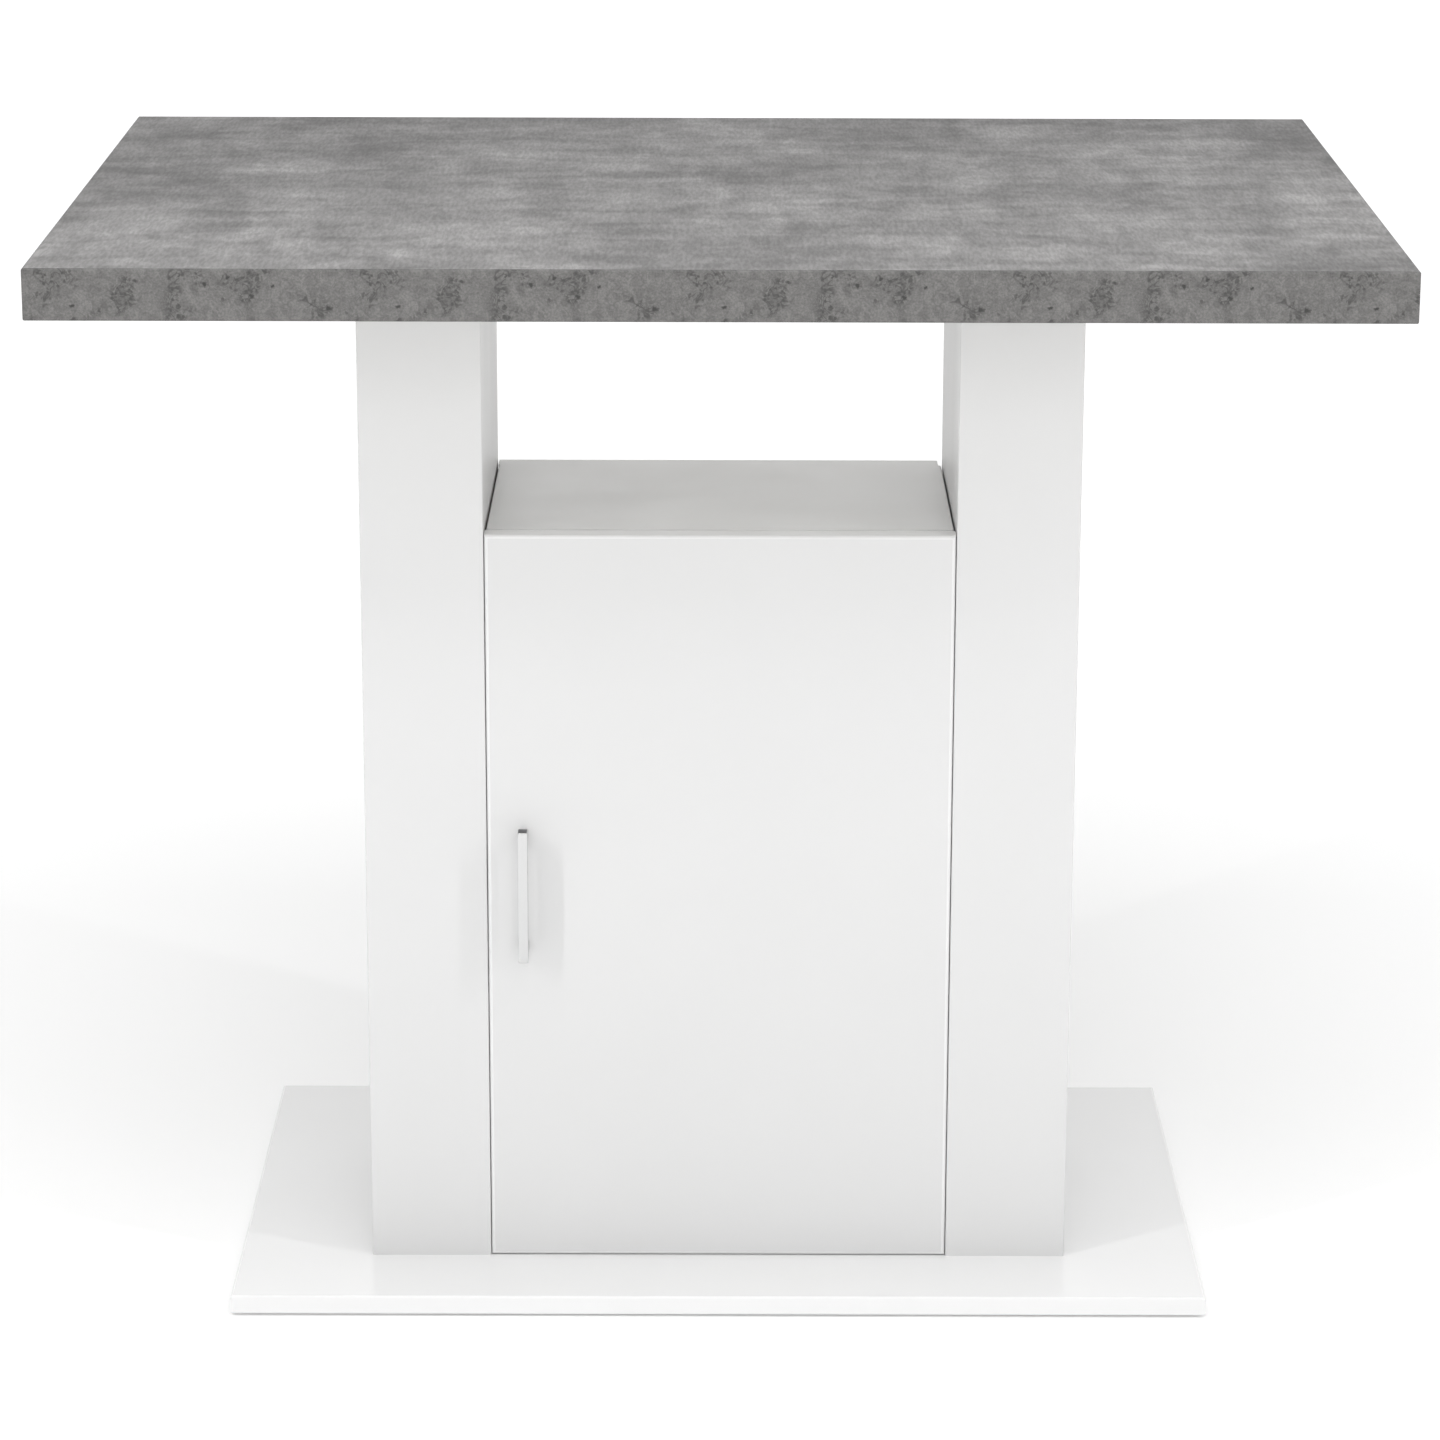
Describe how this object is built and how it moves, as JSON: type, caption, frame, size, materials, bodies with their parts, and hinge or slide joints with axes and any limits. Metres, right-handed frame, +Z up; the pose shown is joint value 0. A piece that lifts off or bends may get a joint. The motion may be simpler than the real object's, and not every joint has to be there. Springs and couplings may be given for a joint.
{
  "type": "kitchen_island",
  "caption": "Free-standing kitchen island with a stone-look worktop, white columns, an open shelf, a hinged cabinet door with a bar handle and a base board.",
  "frame": {"origin": "centre of the bounding box at floor level, under the glides", "axes": "+X to the right seen from the door side, +Y from the door side to the back, +Z up"},
  "size_m": [1.05, 0.75, 0.9],
  "materials": {
    "white_board": "satin white melamine-faced board",
    "white_edging": "satin white edging",
    "chipboard": "raw chipboard",
    "worktop_laminate": "matt stone-look laminate with fine streaks",
    "worktop_edge": "matt stone-look edging with fine dark pits",
    "backing_sheet": "smooth backing sheet",
    "raw_wood": "raw softwood and beech",
    "polished_metal": "bright plated metal",
    "plated_steel": "zinc and nickel plated steel",
    "pale_plastic": "moulded plastic",
    "buffer_rubber": "soft clear rubber"
  },
  "bodies": {
    "island": {"worktop_core": "chipboard", "worktop_laminate": "worktop_laminate", "worktop_backing": "backing_sheet", "worktop_edging": "worktop_edge", "left_front_panel": "white_board", "left_back_panel": "white_board", "left_outer_side": "white_board", "left_inner_side": "white_board", "left_top_block": "raw_wood", "left_foot_block": "raw_wood", "left_column_dowels": "raw_wood", "right_front_panel": "white_board", "right_back_panel": "white_board", "right_outer_side": "white_board", "right_inner_side": "white_board", "right_top_block": "raw_wood", "right_foot_block": "raw_wood", "right_column_dowels": "raw_wood", "cabinet_top": "white_board", "cabinet_bottom": "white_board", "cabinet_left_side": "white_board", "cabinet_right_side": "white_board", "cabinet_back": "white_board", "inner_shelf": "white_board", "shelf_pins": "plated_steel", "cabinet_cams": "plated_steel", "cabinet_cam_bolts": "plated_steel", "hinge_link_pins": "plated_steel", "hinge_arms": "plated_steel", "hinge_adjusting_screws": "plated_steel", "hinge_plates": "plated_steel", "hinge_plate_screws": "plated_steel", "base_board": "white_board", "base_edging": "white_edging", "base_glides": "pale_plastic", "worktop_screws": "plated_steel", "base_column_screws": "plated_steel", "base_cabinet_screws": "plated_steel", "cabinet_column_screws": "plated_steel"},
    "door": {"door_panel": "white_board", "door_edging": "white_edging", "door_buffers": "buffer_rubber", "handle": "polished_metal", "handle_screws": "plated_steel", "hinge_cups": "plated_steel", "hinge_cup_screws": "plated_steel"},
    "lower_link": {"lower_hinge_link": "plated_steel"},
    "upper_link": {"upper_hinge_link": "plated_steel"}
  },
  "joints": [
    {"name": "door_hinge", "type": "hinge", "parent": "island", "child": "door", "pos_m": [0.187, -0.1564, 0.331], "axis": [0, 0, 1], "range_deg": [0, 95]},
    {"name": "lower_link_turn", "type": "hinge", "parent": "island", "child": "lower_link", "pos_m": [0.1559, -0.148, 0.1085], "axis": [0, 0, 1], "range_deg": [-39.9, 0]},
    {"name": "upper_link_turn", "type": "hinge", "parent": "island", "child": "upper_link", "pos_m": [0.1559, -0.148, 0.553], "axis": [0, 0, 1], "range_deg": [-39.9, 0]}
  ],
  "couplings": [
    {"joint": "lower_link_turn", "follows": "door_hinge", "ratio": -0.42},
    {"joint": "upper_link_turn", "follows": "door_hinge", "ratio": -0.42}
  ]
}
